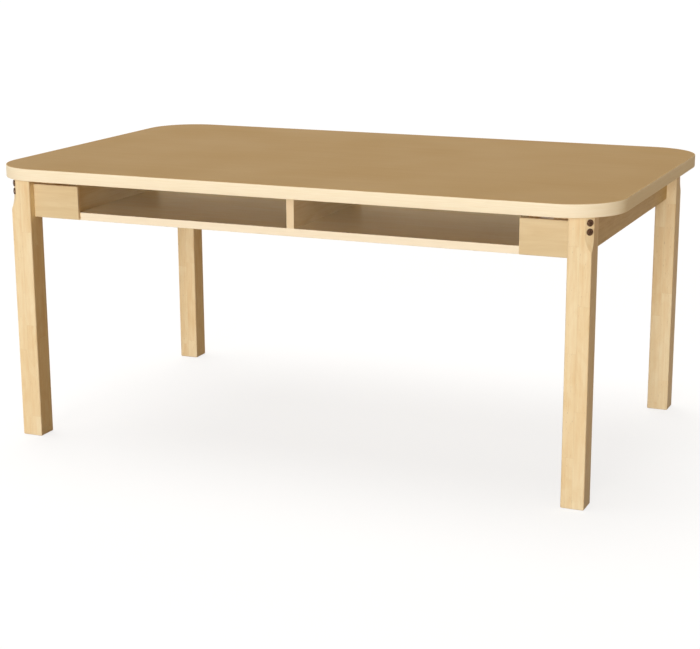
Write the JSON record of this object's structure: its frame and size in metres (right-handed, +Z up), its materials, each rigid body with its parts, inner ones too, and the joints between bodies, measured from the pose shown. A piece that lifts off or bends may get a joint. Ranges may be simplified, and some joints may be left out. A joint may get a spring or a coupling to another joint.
{
  "type": "classroom desk",
  "caption": "Low rectangular group desk: round-cornered laminate top, square hardwood legs bolted through cut corners, and open book cubbies under its long sides.",
  "frame": {"origin": "on the floor, straight under the middle of the top", "axes": "+X along the desk's length to the right as seen in the picture, +Y from the near long side to the far one, +Z up"},
  "size_m": [1.524, 0.9144, 0.668],
  "materials": {
    "laminate": "satin high-pressure laminate in a tan wood tone",
    "edge_band": "satin edge band in a pale maple tone",
    "backer": "plain matt balancing sheet",
    "chipboard": "raw chipboard",
    "hardwood": "pale straight-grained hardwood under clear satin lacquer",
    "plywood": "pale birch plywood under clear gloss lacquer",
    "dowel_wood": "raw beech",
    "bronzed_steel": "dark bronzed steel",
    "zinc_steel": "zinc-plated steel"
  },
  "bodies": {
    "root": {"top_core": "chipboard", "top_laminate": "laminate", "top_backer": "backer", "edge_band": "edge_band", "leg_front_left": "hardwood", "leg_front_right": "hardwood", "leg_back_left": "hardwood", "leg_back_right": "hardwood", "panel_front_left": "plywood", "panel_front_right": "plywood", "panel_back_left": "plywood", "panel_back_right": "plywood", "apron_left": "hardwood", "apron_right": "hardwood", "shelf": "plywood", "wall_left": "plywood", "wall_right": "plywood", "partition": "plywood", "divider_front": "plywood", "divider_back": "plywood", "corner_block_front_left": "hardwood", "corner_block_front_right": "hardwood", "corner_block_back_left": "hardwood", "corner_block_back_right": "hardwood", "apron_cleat_left": "hardwood", "apron_cleat_right": "hardwood", "wall_cleat_left": "hardwood", "wall_cleat_right": "hardwood", "leg_bolts": "bronzed_steel", "bolt_washers": "zinc_steel", "bolt_nuts": "zinc_steel", "top_screws": "zinc_steel", "cleat_screws": "zinc_steel", "shelf_screws": "zinc_steel", "partition_screws": "zinc_steel", "panel_dowels": "dowel_wood"}
  },
  "joints": []
}
